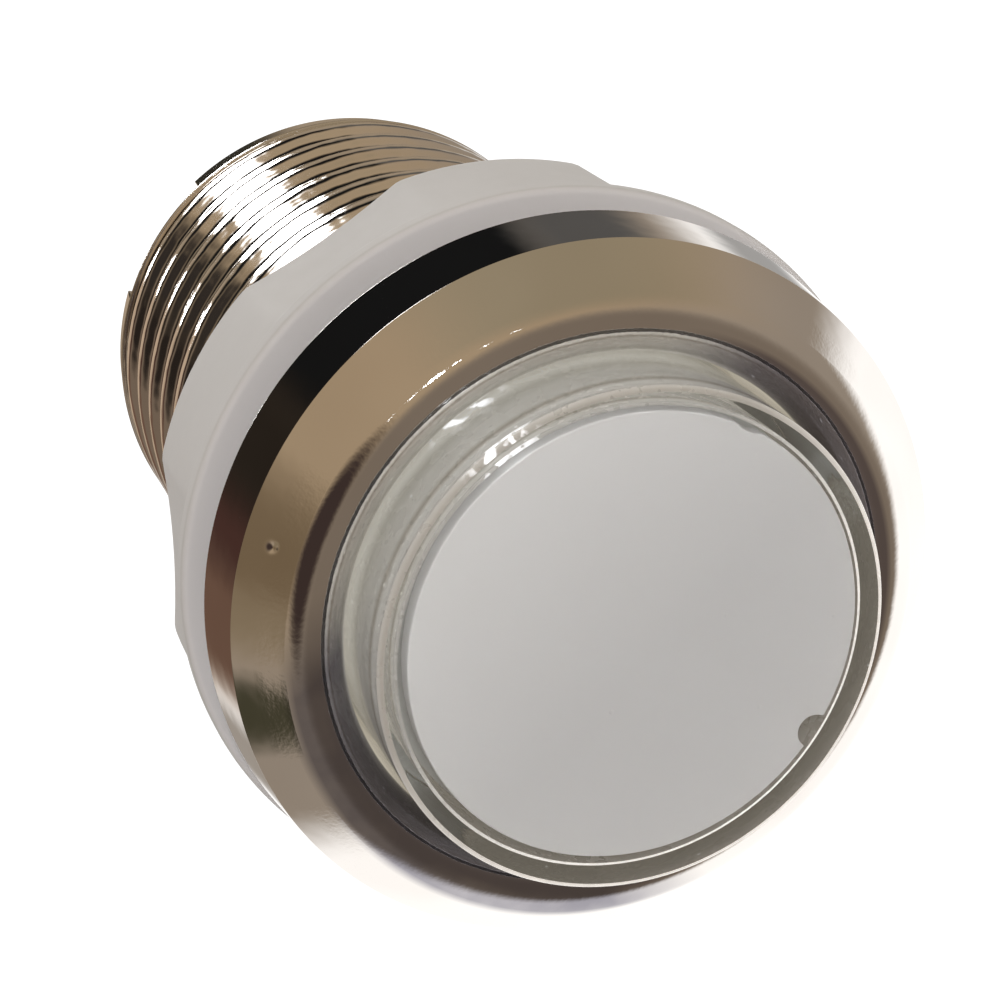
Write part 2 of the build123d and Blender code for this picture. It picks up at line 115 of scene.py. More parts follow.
BEZEL_EDGE_ROUND = 0.03
SEAT_EDGE_ROUND = 0.03
RIM_ROUND = 0.3
LAND_TAPER = 0.36
HOUSING_COLUMNS = 240

# Thread: a right-hand helix that grows out of the rear land
THREAD_PITCH = 3.2
THREAD_H = 0.75
THREAD_RELIEF = 0.4
CREST_R = ROOT_R + THREAD_H
THREAD_CREST_W = 0.5
THREAD_ROOT_W = 2.9
THREAD_LEAD_IN = 1.1
THREAD_START_Z = LAND_Z - THREAD_LEAD_IN
THREAD_END_Z = -2.7
THREAD_RUN_OUT = 0.06
THREAD_FLANK_STEPS = 6
THREAD_SPARE_TURNS = 3
NECK_Z = -0.4
LAND_STEP = 0.05
LAND_R = CREST_R + LAND_STEP

# Notches in the rear rim
NOTCH_ANGLES = (-75.0, 105.0)
NOTCH_W = 7.0
NOTCH_DEPTH = 1.6
NOTCH_LEAN = 0.3

# Dent in the sloping face
DENT_ANGLE = -58.6
DENT_R = 15.5
DENT_WIDTH = 0.24
DENT_DEPTH = 0.07
DENT_WINDOW = (2.4, 0.2)
DENT_ROW_STEP = 0.05
DENT_ROWS = range(-10, 13)

# Nut
NUT_CLEARANCE = 0.2
NUT_BORE_R = CREST_R + NUT_CLEARANCE
NUT_BORE_CHAMFER = 0.4
NUT_BORE_ROUND = 0.1
NUT_FLANGE_R = nut_high.x
NUT_FLANGE_T = 1.2
NUT_GRIP_WALL = 3.25
NUT_GRIP_R = CREST_R + NUT_GRIP_WALL
NUT_FLAT_WALL = 2.45
NUT_FLAT_R = CREST_R + NUT_FLAT_WALL
NUT_HOLLOW_R = 40.0
NUT_FLATS = 6
NUT_FLAT_ANGLE = -99.5
NUT_CORNER_SOFTNESS = 0.035
NUT_EDGE_ROUND = 0.35
NUT_SHOULDER_ROUND = 0.2
NUT_COLUMNS = 360

# Spring
SPRING_WIRE_R = 0.4
SPRING_TURNS = 4
SPRING_WIRE_SIDES = 12
SPRING_TURN_STEPS = 60

# Meshing: steps in an edge's round, the lead row beside it, and the distance that welds points
ARC_STEPS = 8
LEAD = 0.05
WELD = 0.002


def rounded(corners, closed):
    """Rows (r, z, tag) along corners (r, z, round, tag), with an arc at each round and lead rows."""
    rows = []
    for i, (r, z, radius, tag) in enumerate(corners):
        at_end = not closed and i in (0, len(corners) - 1)
        if radius == 0 or at_end:
            rows.append((r, z, tag))
            continue
        here = Vector((r, z))
        to_last = (Vector(corners[i - 1][:2]) - here).normalized()
        to_next = (Vector(corners[(i + 1) % len(corners)][:2]) - here).normalized()
        half = to_last.angle(to_next) / 2
        reach = radius / math.tan(half)
        centre = here + (to_last + to_next).normalized() * radius / math.sin(half)
        first = here + to_last * reach - centre
        last = here + to_next * reach - centre
        start = math.atan2(first.y, first.x)
        turn = math.remainder(math.atan2(last.y, last.x) - start, math.tau)
        lead_in = here + to_last * (reach + LEAD)
        rows.append((lead_in.x, lead_in.y, tag))
        for step in range(ARC_STEPS + 1):
            angle = start + turn * step / ARC_STEPS
            rows.append((centre.x + radius * math.cos(angle), centre.y + radius * math.sin(angle), tag))
        lead_out = here + to_next * (reach + LEAD)
        rows.append((lead_out.x, lead_out.y, tag))
    return rows


def columns(count, *windows):
    """Angles in degrees round the axis: count even ones, and a finer run in each window.
    A window is (middle, half width, step)."""
    angles = {round(360 * i / count - 180, 4) for i in range(count)}
    for middle, half, step in windows:
        steps = round(2 * half / step)
        angles |= {round(math.remainder(middle - half + i * step, 360), 4) for i in range(steps + 1)}
    return sorted(angles)


def new_piece(name, mesh):
    """Object for a mesh, in the scene, with outward faces and smooth shading."""
    shape = bmesh.new()
    shape.from_mesh(mesh)
    bmesh.ops.remove_doubles(shape, verts=shape.verts, dist=WELD * MM)
    bmesh.ops.recalc_face_normals(shape, faces=shape.faces)
    shape.to_mesh(mesh)
    shape.free()
    mesh.shade_smooth()
    piece = bpy.data.objects.new(name, mesh)
    bpy.context.scene.collection.objects.link(piece)
    return piece


def turned(name, rows, angles, place, closed, seam=None):
    """Piece from rows swept round the axis. place(row, angle) gives (r, z).
    An open profile ends in two fans. seam(i) is the row that row i runs into after a full turn."""
    count = len(angles)
    points = []
    for row in rows:
        for angle in angles:
            r, z = place(row, angle)
            turn = math.radians(angle)
            points.append((r * math.cos(turn) * MM, r * math.sin(turn) * MM, z * MM))
    faces = []
    for i in range(len(rows) if closed else len(rows) - 1):
        this = i * count
        after = (i + 1) % len(rows) * count
        for j in range(count - 1):
            faces.append((this + j, this + j + 1, after + j + 1, after + j))
        far, far_after = this, after
        if seam:
            far, far_after = seam(i) * count, seam((i + 1) % len(rows)) * count
        faces.append((this + count - 1, far, far_after, after + count - 1))
    if not closed:
        for i in (0, len(rows) - 1):
            points.append((0, 0, rows[i][1] * MM))
            ring = i * count
            faces += [(ring + j, ring + (j + 1) % count, len(points) - 1) for j in range(count)]
    mesh = bpy.data.meshes.new(name)
    mesh.from_pydata(points, [], faces)
    return new_piece(name, mesh)


def as_is(row, angle):
    """Row with no change round the axis."""
    return row[0], row[1]


# Housing


def thread_height(z, angle):
    """How far the thread stands above its root at a height and an angle."""
    turns = angle / 360 % 1
    place = (z - THREAD_START_Z) / THREAD_PITCH - turns
    turn = round(place) + turns
    end_turn = (THREAD_END_Z - THREAD_START_Z) / THREAD_PITCH
    if turn < 0 or turn > end_turn:
        return 0.0
    away = abs(place - round(place)) * THREAD_PITCH
    flank = (THREAD_ROOT_W - THREAD_CREST_W) / 2
    rise = min(1.0, max(0.0, (THREAD_ROOT_W / 2 - away) / flank))
    fade = min(1.0, (end_turn - turn) / THREAD_RUN_OUT)
    return THREAD_RELIEF * fade * rise * rise * (3 - 2 * rise)


def notch_half_angle():
    """Half of a rim notch's angle, at the middle of the barrel's wall."""
    return math.degrees(math.asin(NOTCH_W / (BORE_R + LAND_R)))


def housing_place(row, angle):
    """Thread, rim notches and the dent on the housing's plain profile."""
    r, z, tag = row
    if tag == "helix":
        z = min(NECK_Z, max(LAND_Z + 2 * SOFT_EDGE, z + angle % 360 / 360 * THREAD_PITCH))
    if tag in ("helix", "thread"):
        r = max(r, CREST_R - THREAD_RELIEF + thread_height(z, angle))
    elif tag == "rim":
        for middle in NOTCH_ANGLES:
            if abs(math.remainder(angle - middle, 360)) < notch_half_angle():
                z = max(z, RIM_Z + NOTCH_DEPTH)
    elif tag == "slope":
        beside = math.radians(math.remainder(angle - DENT_ANGLE, 360)) * r
        across = (r - DENT_R) * math.hypot(1, SLOPE_RISE / (EDGE_R - BORE_R))
        sink = DENT_DEPTH * math.exp(-(beside**2 + across**2) / DENT_WIDTH**2)
        tilt = math.atan2(EDGE_R - BORE_R, SLOPE_RISE)
        r -= sink * math.cos(tilt)
        z -= sink * math.sin(tilt)
    return r, z


def flank_offsets():
    """Heights over a thread's middle, from the front down: its two flanks and the two edges of its root."""
    step = (THREAD_ROOT_W - THREAD_CREST_W) / 2 / THREAD_FLANK_STEPS
    down = [THREAD_ROOT_W / 2 - step * i for i in range(THREAD_FLANK_STEPS + 1)]
    return down + [-offset for offset in reversed(down)]


def helix_heights():
    """Heights at angle 0 of the rows that follow the thread, for one turn more than the barrel's length."""
    turns = math.ceil((NECK_Z - LAND_Z) / THREAD_PITCH) + 1
    return [THREAD_START_Z + THREAD_PITCH * turn + offset
            for turn in range(turns, -THREAD_SPARE_TURNS, -1) for offset in flank_offsets()]


def housing_corners():
    """Profile of bezel, barrel and collar, from the mouth outwards and back up the inside."""
    slope_rows = [DENT_R + DENT_ROW_STEP * i for i in DENT_ROWS]
    slope = SLOPE_RISE / (EDGE_R - BORE_R)
    return [
        (BORE_R, EDGE_Z + SLOPE_RISE, LIP_ROUND, ""),
        *[(r, EDGE_Z + (EDGE_R - r) * slope, 0, "slope") for r in slope_rows],
        (EDGE_R, EDGE_Z, BEZEL_EDGE_ROUND, ""),
        (SEAT_R, 0, SEAT_EDGE_ROUND, ""),
        (ROOT_R, 0, SOFT_EDGE, ""),
        *[(ROOT_R, z, 0, "helix") for z in helix_heights()],
        (ROOT_R, LAND_Z, SOFT_EDGE, "thread"),
        (LAND_R, LAND_Z, SOFT_EDGE, "thread"),
        (LAND_R - LAND_TAPER, RIM_Z, RIM_ROUND, "rim"),
        (BORE_R, RIM_Z, SOFT_EDGE, "rim"),
        (BORE_R, GROOVE_Z, GROOVE_ROUND, ""),
        (GROOVE_R, GROOVE_Z, GROOVE_ROUND, ""),
        (GROOVE_R, GROOVE_Z + GROOVE_H, GROOVE_ROUND, ""),
        (BORE_R, GROOVE_Z + GROOVE_H, GROOVE_ROUND, ""),
        (BORE_R, COLLAR_REAR_Z, SOFT_EDGE, ""),
        (COLLAR_R, COLLAR_REAR_Z, SOFT_EDGE, ""),
        (COLLAR_R, COLLAR_Z, SOFT_EDGE, ""),
        (BORE_R, COLLAR_Z, SOFT_EDGE, ""),
    ]


def make_housing():
    """Bezel and barrel in one, with rows that follow the thread."""
    edges = []
    for middle in NOTCH_ANGLES:
        for side in (-1, 1):
            edges.append((middle + side * notch_half_angle(), NOTCH_LEAN / 2, NOTCH_LEAN))
    angles = [angle % 360 for angle in columns(HOUSING_COLUMNS, (DENT_ANGLE, *DENT_WINDOW), *edges)]
    rows = rounded(housing_corners(), True)
    helix = [i for i, row in enumerate(rows) if row[2] == "helix"]

    def seam(i):
        return max(helix[0], i - len(flank_offsets())) if i in helix else i

    return turned("chrome_housing", rows, sorted(angles), housing_place, True, seam)


# Nut


def grip_radius(angle):
    """The grip's outline: a circle with hollowed flats, softly joined."""
    step = 360 / NUT_FLATS
    away = math.radians(math.remainder(angle - NUT_FLAT_ANGLE, step))
    reach = NUT_FLAT_R + NUT_HOLLOW_R
    flat = reach * math.cos(away) - math.sqrt(NUT_HOLLOW_R**2 - (reach * math.sin(away)) ** 2)
    low = min(flat, NUT_GRIP_R)
    softly = sum(math.exp((low - r) / NUT_CORNER_SOFTNESS) for r in (flat, NUT_GRIP_R))
    return low - NUT_CORNER_SOFTNESS * math.log(softly)


def nut_place(row, angle):
    """Flats on the nut's grip."""
    r, z, tag = row
    if tag == "grip":
        r += grip_radius(angle) - NUT_GRIP_R
    return r, z


def make_nut():
    """Nut with a round flange in front and its grip behind."""
    front, rear = nut_high.z, nut_low.z
    shoulder = front - NUT_FLANGE_T
    mouth_r = NUT_BORE_R + NUT_BORE_CHAMFER
    corners = [
        (mouth_r, front, NUT_BORE_ROUND, ""),
        (NUT_FLANGE_R, front, NUT_EDGE_ROUND, ""),
        (NUT_FLANGE_R, shoulder, NUT_EDGE_ROUND, ""),
        (NUT_GRIP_R, shoulder, NUT_SHOULDER_ROUND, "grip"),
        (NUT_GRIP_R, rear, NUT_EDGE_ROUND, "grip"),
        (mouth_r, rear, NUT_BORE_ROUND, ""),
        (NUT_BORE_R, rear + NUT_BORE_CHAMFER, NUT_BORE_ROUND, ""),
        (NUT_BORE_R, front - NUT_BORE_CHAMFER, NUT_BORE_ROUND, ""),
    ]
    return turned("white_nut", rounded(corners, True), columns(NUT_COLUMNS), nut_place, True)


# Plunger


# Places of the clear cap's second and third material
CUP_WALL = 1
WORN_AND_LIT_EDGE = 2


def make_cap():
    """Clear cup, whose inner wall and rubbed edges have materials of their own, which carry painted light
    and shade.
    """
    front, rear = cap_high.z, cap_low.z
    inner_r = CAP_R - CAP_WALL
    fan_r = CAP_R / 3
    corners = [
        (fan_r, front, 0, ""),
        (CAP_R, front, CAP_EDGE_ROUND, ""),
        (CAP_R, rear, CAP_REAR_ROUND, ""),
        (inner_r, rear, CAP_REAR_ROUND, ""),
        (inner_r, front - WINDOW_T, CAP_CORNER_ROUND, ""),
        (fan_r, front - WINDOW_T, 0, ""),
    ]
    cap = turned("clear_cap", rounded(corners, False), columns(CAP_COLUMNS), as_is, False)
    for face in cap.data.polygons:
        x, y, z = face.center / MM
        r = math.hypot(x, y)
        in_cup = inner_r - CAP_CORNER_ROUND < r < inner_r + LEAD and z < front - WINDOW_T
        in_corner = in_cup and z > front - WINDOW_T - CAP_CORNER_ROUND
        on_edge = r > CAP_R - CAP_EDGE_ROUND and z > front - CAP_EDGE_ROUND
        if in_corner or on_edge:
            face.material_index = WORN_AND_LIT_EDGE
        elif in_cup:
            face.material_index = CUP_WALL
    return cap


def disc_radius(angle):
    """The disc's outline with its half-round key and a chip in its edge."""
    away = math.radians(math.remainder(angle - DISC_KEY_ANGLE, 360))
    inside = DISC_KEY_R**2 - (DISC_R * math.sin(away)) ** 2
    if inside <= 0 or math.cos(away) < 0:
        chip = math.remainder(angle - DISC_CHIP_ANGLE, 360) / DISC_CHIP_WIDTH
        return DISC_R - DISC_CHIP_DEPTH * math.exp(-chip**4)
    return DISC_R * math.cos(away) - math.sqrt(inside)


def disc_place(row, angle):
    """Key and chip in the disc's edge."""
    r, z, tag = row
    if tag == "edge":
        r += disc_radius(angle) - DISC_R
    return r, z


def make_disc():
    """Disc behind the cap's window, a little off the axis."""
    front, rear = disc_high.z - DISC_GAP, disc_low.z
    fan_r = DISC_R / 2
    corners = [
        (fan_r, front, 0, ""),
        (DISC_R, front, DISC_EDGE_ROUND, "edge"),
        (DISC_R, rear, DISC_EDGE_ROUND, "edge"),
        (fan_r, rear, 0, ""),
    ]
    windows = [(DISC_KEY_ANGLE, *DISC_KEY_WINDOW), (DISC_CHIP_ANGLE, *DISC_CHIP_WINDOW)]
    angles = columns(DISC_COLUMNS, *windows)
    disc = turned("white_disc", rounded(corners, False), angles, disc_place, False)
    disc.data.transform(Matrix.Translation(Vector((*DISC_SHIFT, 0)) * MM))
    return disc


def make_spring():
    """Round wire along a helix, closed by a fan at each end."""
    mean_r = spring_high.x - SPRING_WIRE_R
    low, high = spring_low.z + SPRING_WIRE_R, spring_high.z - SPRING_WIRE_R
    steps = SPRING_TURNS * SPRING_TURN_STEPS
    points = []
    for i in range(steps + 1):
        turn = math.tau * i / SPRING_TURN_STEPS
        out = Vector((math.cos(turn), math.sin(turn), 0))
        middle = out * mean_r + Vector((0, 0, low + (high - low) * i / steps))
        for j in range(SPRING_WIRE_SIDES):
            side = math.tau * j / SPRING_WIRE_SIDES
            point = middle + (out * math.cos(side) + Vector((0, 0, math.sin(side)))) * SPRING_WIRE_R
            points.append(point * MM)
    faces = []
    for i in range(steps):
        for j in range(SPRING_WIRE_SIDES):
            k = (j + 1) % SPRING_WIRE_SIDES
            ring, after = i * SPRING_WIRE_SIDES, (i + 1) * SPRING_WIRE_SIDES
            faces.append((ring + j, ring + k, after + k, after + j))
    faces.append(tuple(range(SPRING_WIRE_SIDES)))
    faces.append(tuple(steps * SPRING_WIRE_SIDES + j for j in range(SPRING_WIRE_SIDES)))
    mesh = bpy.data.meshes.new("coil_spring")
    mesh.from_pydata(points, [], faces)
    return new_piece("coil_spring", mesh)


# Materials

# The part of its range that a noise mostly fills, a mask's two ends, and no glow at all
NOISE_SPAN = (0.3, 0.7)
OFF_TO_ON = (0, 1)
DARK = (0.0, 0.0, 0.0)


def material(name, sockets):
    """New material with a Principled shader and these values on its sockets."""
    made = bpy.data.materials.new(name)
    made.use_nodes = True
    for socket, value in sockets.items():
        shader_of(made).inputs[socket].default_value = value
    return made


def shader_of(made):
    """A material's Principled shader."""
    return made.node_tree.nodes["Principled BSDF"]


def noise(made, per_mm, detail=2.0, stretch=(1, 1, 1)):
    """Noise over the piece's own coordinates, with about this many features in a millimetre."""
    nodes, links = made.node_tree.nodes, made.node_tree.links
    place = nodes.new("ShaderNodeTexCoord")
    scale = nodes.new("ShaderNodeMapping")
    scale.inputs["Scale"].default_value = [per_mm * s / MM for s in stretch]
    texture = nodes.new("ShaderNodeTexNoise")
    texture.inputs["Scale"].default_value = 1.0
    texture.inputs["Detail"].default_value = detail
    links.new(place.outputs["Object"], scale.inputs["Vector"])
    links.new(scale.outputs["Vector"], texture.inputs["Vector"])
    return texture.outputs["Fac"]


def along(made, axis, span, values):
    """Value over the piece's own X, Y or Z, from one height in millimetres to another."""
    nodes, links = made.node_tree.nodes, made.node_tree.links
    place = nodes.new("ShaderNodeTexCoord")
    split = nodes.new("ShaderNodeSeparateXYZ")
    links.new(place.outputs["Object"], split.inputs["Vector"])
    return spread(made, split.outputs[axis], [s * MM for s in span], values)


def outward(made, span, values):
    """Value over the distance from the piece's axis, from one radius in millimetres to another."""
    nodes, links = made.node_tree.nodes, made.node_tree.links
    place = nodes.new("ShaderNodeTexCoord")
    flat = nodes.new("ShaderNodeVectorMath")
    flat.operation = "MULTIPLY"
    flat.inputs[1].default_value = (1, 1, 0)
    length = nodes.new("ShaderNodeVectorMath")
    length.operation = "LENGTH"
    links.new(place.outputs["Object"], flat.inputs[0])
    links.new(flat.outputs["Vector"], length.inputs[0])
    return spread(made, length.outputs["Value"], [s * MM for s in span], values)


def times(made, first, second):
    """Product of two sources."""
    nodes, links = made.node_tree.nodes, made.node_tree.links
    product = nodes.new("ShaderNodeMath")
    product.operation = "MULTIPLY"
    links.new(first, product.inputs[0])
    links.new(second, product.inputs[1])
    return product.outputs["Value"]


# Share of a speck that is fully bright
SPECK_CORE = 0.6


def specks(made, per_mm, size):
    """Round specks, 1 in a speck and 0 around, one in each cell and of this share of it."""
    nodes, links = made.node_tree.nodes, made.node_tree.links
    place = nodes.new("ShaderNodeTexCoord")
    cells = nodes.new("ShaderNodeTexVoronoi")
    cells.inputs["Scale"].default_value = per_mm / MM
    links.new(place.outputs["Object"], cells.inputs["Vector"])
    return spread(made, cells.outputs["Distance"], (size, size * SPECK_CORE), OFF_TO_ON)


def spread(made, source, span, values):
    """Source mapped from a span of its range to two values."""
    nodes, links = made.node_tree.nodes, made.node_tree.links
    mapped = nodes.new("ShaderNodeMapRange")
    mapped.inputs["From Min"].default_value, mapped.inputs["From Max"].default_value = span
    mapped.inputs["To Min"].default_value, mapped.inputs["To Max"].default_value = values
    links.new(source, mapped.inputs["Value"])
    return mapped.outputs["Result"]


def between(made, source, low, high):
    """Colour that goes from low to high with the source. Low is a tone or another colour source."""
    nodes, links = made.node_tree.nodes, made.node_tree.links
    mix = nodes.new("ShaderNodeMix")
    mix.data_type = "RGBA"
    if isinstance(low, tuple):
        mix.inputs["A"].default_value = (*low, 1)
    else:
        links.new(low, mix.inputs["A"])
    mix.inputs["B"].default_value = (*high, 1)
    links.new(source, mix.inputs["Factor"])
    return mix.outputs["Result"]


def glowing(made, source):
    """Gives a material a faint glow of its own, seen but not sampled as a lamp."""
    feed(made, source, "Emission Color")
    shader_of(made).inputs["Emission Strength"].default_value = 1.0
    made.cycles.emission_sampling = "NONE"


def feed(made, source, socket):
    """Links a source to one of the shader's sockets."""
    made.node_tree.links.new(source, shader_of(made).inputs[socket])


def bumps(made, *layers):
    """Bump from layers (height, depth in millimetres), one over the other."""
    nodes, links = made.node_tree.nodes, made.node_tree.links
    normal = None
    for height, depth in layers:
        bump = nodes.new("ShaderNodeBump")
        bump.inputs["Strength"].default_value = 1.0
        bump.inputs["Distance"].default_value = depth * MM
        links.new(height, bump.inputs["Height"])
        if normal:
            links.new(normal, bump.inputs["Normal"])
        normal = bump.outputs["Normal"]
    links.new(normal, shader_of(made).inputs["Normal"])


# Heights, places and radii in millimetres between which the plating changes, and its painted reflections
# there.
# These painted dark reflections stand for darker things that the lip mirrors on its inner edge and on its
# +X side.
LIP_Z = (4.2, 4.6)
INNER_LIP_R = (13.45, 13.2)
INNER_LIP_Y = (-8.0, -4.0)
INNER_LIP_PAINTED_REFLECTION = (0.42, 0.395, 0.435)
SIDE_LIP_R = (14.9, 14.4)
SIDE_LIP_X = (5.0, 9.0)
SIDE_LIP_Y = (-11.0, -8.0)
SIDE_LIP_PAINTED_REFLECTION = (0.32, 0.31, 0.35)
# Painted glow for the light that the clear cap leads into the gap round it
BELOW_LIP_Z = (4.6, 4.2)
GAP_R = (12.0, 11.9)
PAINTED_GAP_GLOW = (0.10, 0.092, 0.075)
# The barrel's plating is rougher and wavier than the bezel's, but calm on the land
BARREL_ROUGH_Z = (-2.0, -3.0)
BARREL_WAVE_Z = (-2.0, -4.0)
LAND_WAVE_FADE = 0.3
LAND_WAVE_Z = (LAND_Z - LAND_WAVE_FADE, LAND_Z + LAND_WAVE_FADE)
BARREL_WAVE = 0.06
LIP_GRAIN = 0.003


def chrome():
    """Bright plating: hazy smears, a grainy lip with painted dark reflections and a painted glow in the gap
    below it, and a rougher, wavy barrel.
    """
    made = material("chrome_plating", {"Metallic": 1.0})
    haze = spread(made, noise(made, 0.12, 2.0), (0.35, 0.7), OFF_TO_ON)
    plating = between(made, haze, (0.94, 0.92, 0.90), (0.86, 0.83, 0.80))
    lip = along(made, "Z", LIP_Z, OFF_TO_ON)
    # Painted dark reflections on the lip's inner edge and on its +X side
    inner_lip = times(made, lip, outward(made, INNER_LIP_R, OFF_TO_ON))
    painted_inner_mask = times(made, inner_lip, along(made, "Y", INNER_LIP_Y, OFF_TO_ON))
    plating_with_inner_reflection = between(made, painted_inner_mask, plating, INNER_LIP_PAINTED_REFLECTION)
    side = times(made, along(made, "X", SIDE_LIP_X, OFF_TO_ON), along(made, "Y", SIDE_LIP_Y, OFF_TO_ON))
    side_lip_reflection_mask = times(made, times(made, lip, outward(made, SIDE_LIP_R, OFF_TO_ON)), side)
    painted_side_mask = times(made, side_lip_reflection_mask, spread(made, noise(made, 0.35, 3.0), (0.3, 0.6), (0.8, 1.0)))
    feed(made, between(made, painted_side_mask, plating_with_inner_reflection, SIDE_LIP_PAINTED_REFLECTION), "Base Color")
    # Painted glow in the gap below the lip
    painted_gap_mask = times(made, along(made, "Z", BELOW_LIP_Z, OFF_TO_ON), outward(made, GAP_R, OFF_TO_ON))
    glowing(made, between(made, painted_gap_mask, DARK, PAINTED_GAP_GLOW))
    feed(made, along(made, "Z", BARREL_ROUGH_Z, (0.045, 0.1)), "Roughness")
    land = along(made, "Z", LAND_WAVE_Z, (0.1, 1))
    barrel = times(made, land, along(made, "Z", BARREL_WAVE_Z, (0.15, 1)))
    waves = times(made, noise(made, 0.8, 1.0), barrel)
    grain = times(made, noise(made, 5.0, 1.0), lip)
    bumps(made, (waves, BARREL_WAVE), (grain, LIP_GRAIN))
    return made


# Painted light on the nut's front face: it is paler than its grip and has a painted glow for the light that
# it scatters
NUT_FACE_Z = (-2.62, -2.42)
NUT_FACE_PAINTED_LIGHT = (0.78, 0.775, 0.785)
NUT_FACE_PAINTED_GLOW = (0.105, 0.105, 0.113)


def nut_plastic():
    """Off-white moulded plastic with a soft sheen, and painted light on its front face."""
    made = material("nut_plastic", {"IOR": 1.5, "Specular IOR Level": 0.25})
    grip = between(made, noise(made, 0.15, 3.0), (0.57, 0.56, 0.55), (0.62, 0.61, 0.60))
    # The front face is painted paler and given a painted glow
    face = along(made, "Z", NUT_FACE_Z, OFF_TO_ON)
    feed(made, between(made, face, grip, NUT_FACE_PAINTED_LIGHT), "Base Color")
    glowing(made, between(made, face, DARK, NUT_FACE_PAINTED_GLOW))
    feed(made, spread(made, noise(made, 0.8, 3.0), NOISE_SPAN, (0.52, 0.66)), "Roughness")
    bumps(made, (noise(made, 0.5, 2.0), 0.012), (noise(made, 6.0, 2.0), 0.003))
    return made


CLEAR_IOR = 1.49
CLEAR_TINT = (0.97, 0.97, 0.96, 1)


def clear_plastic():
    """Clear polished plastic with fine scratches and a faint grey-green tint."""
    sockets = {"Base Color": CLEAR_TINT, "IOR": CLEAR_IOR, "Transmission Weight": 0.96}
    made = material("clear_plastic", sockets)
    feed(made, spread(made, noise(made, 0.5, 4.0), (0.4, 0.75), (0.01, 0.06)), "Roughness")
    bumps(made, (noise(made, 1.2, 2.0), 0.004))
    return made


# The cup's inner wall: heights in millimetres and the tone there, from the mouth to the window
CUP_BANDS = [
    (-3.0, (0.70, 0.69, 0.64)),
    (2.0, (0.84, 0.84, 0.80)),
    (3.0, (0.97, 0.97, 0.95)),
    (3.9, (0.95, 0.95, 0.93)),
    (4.7, (0.50, 0.49, 0.45)),
    (5.5, (0.92, 0.92, 0.89)),
    (6.5, (0.90, 0.90, 0.87)),
    (6.9, (0.38, 0.34, 0.28)),
    (7.3, (0.96, 0.96, 0.93)),
    (7.8, (0.88, 0.87, 0.84)),
]
# Painted shade on the cup's far side and a painted glow for the light that the plastic leads, with where
# they fade in millimetres
CUP_SHADE_Y = (-5.0, 0.0)
CUP_SHADE = (0.28, 0.26, 0.24)
CUP_GLOW_FRONT = (0.06, 0.058, 0.053)
CUP_GLOW_REAR = (0.19, 0.18, 0.155)
CUP_GLOW_FAR = (0.075, 0.068, 0.054)
CUP_GLOW_Z = (6.0, 3.5)
CUP_GLOW_Y = (-4.0, 2.0)
# Painted glow on the dust specks in the cup
CUP_DUST_GLOW = (0.5, 0.5, 0.48)
# Painted glints: their place in millimetres, how they break up, and the two heights that bound those in the
# cup
GLINT = (0.95, 0.96, 1.0)
GLINT_LOW_X = (-3.6, -2.2)
GLINT_HIGH_X = (0.6, -0.8)
GLINT_Y = (-9.0, -10.0)
GLINT_BREAK = (0.5, 0.58)
GLINTS_PER_MM = 1.6
CUP_GLINT_LOW_Z = (2.2, 2.6)
CUP_GLINT_HIGH_Z = (4.4, 4.0)


def glints(made):
    """Broken painted glints where the cup's near side turns to the window light."""
    low = along(made, "X", GLINT_LOW_X, OFF_TO_ON)
    high = along(made, "X", GLINT_HIGH_X, OFF_TO_ON)
    near = along(made, "Y", GLINT_Y, OFF_TO_ON)
    broken = spread(made, noise(made, GLINTS_PER_MM, 3.0), GLINT_BREAK, OFF_TO_ON)
    return times(made, times(made, low, high), times(made, near, broken))


def cup_wall():
    """Moulded inner face of the clear cup: rings of lighter and darker tone, painted shade on its far side,
    and a painted glow with glowing dust specks and painted glints.
    """
    made = material("cup_wall", {"IOR": CLEAR_IOR, "Transmission Weight": 0.2})
    nodes, links = made.node_tree.nodes, made.node_tree.links
    low, high = CUP_BANDS[0][0], CUP_BANDS[-1][0]
    bands = nodes.new("ShaderNodeValToRGB")
    stops = bands.color_ramp.elements
    for i, (height, tone) in enumerate(CUP_BANDS):
        share = (height - low) / (high - low)
        stop = stops[i] if i < 2 else stops.new(share)
        stop.position = share
        stop.color = (*tone, 1)
    links.new(along(made, "Z", (low, high), OFF_TO_ON), bands.inputs["Fac"])
    # Painted shade on the cup's far side
    tone = between(made, along(made, "Y", CUP_SHADE_Y, OFF_TO_ON), bands.outputs["Color"], CUP_SHADE)
    feed(made, tone, "Base Color")
    # Painted glow for the light that the plastic leads, with glowing dust specks and painted glints
    near_glow = between(made, along(made, "Z", CUP_GLOW_Z, OFF_TO_ON), CUP_GLOW_FRONT, CUP_GLOW_REAR)
    glow = between(made, along(made, "Y", CUP_GLOW_Y, OFF_TO_ON), near_glow, CUP_GLOW_FAR)
    dust_and_glow = between(made, specks(made, 0.9, 0.08), glow, CUP_DUST_GLOW)
    above = along(made, "Z", CUP_GLINT_LOW_Z, OFF_TO_ON)
    below = along(made, "Z", CUP_GLINT_HIGH_Z, OFF_TO_ON)
    bright = times(made, glints(made), times(made, above, below))
    glowing(made, between(made, bright, dust_and_glow, GLINT))
    feed(made, spread(made, noise(made, 1.0, 3.0), NOISE_SPAN, (0.15, 0.4)), "Roughness")
    bumps(made, (noise(made, 0.6, 2.0, (0.4, 0.4, 4)), 0.006))
    return made


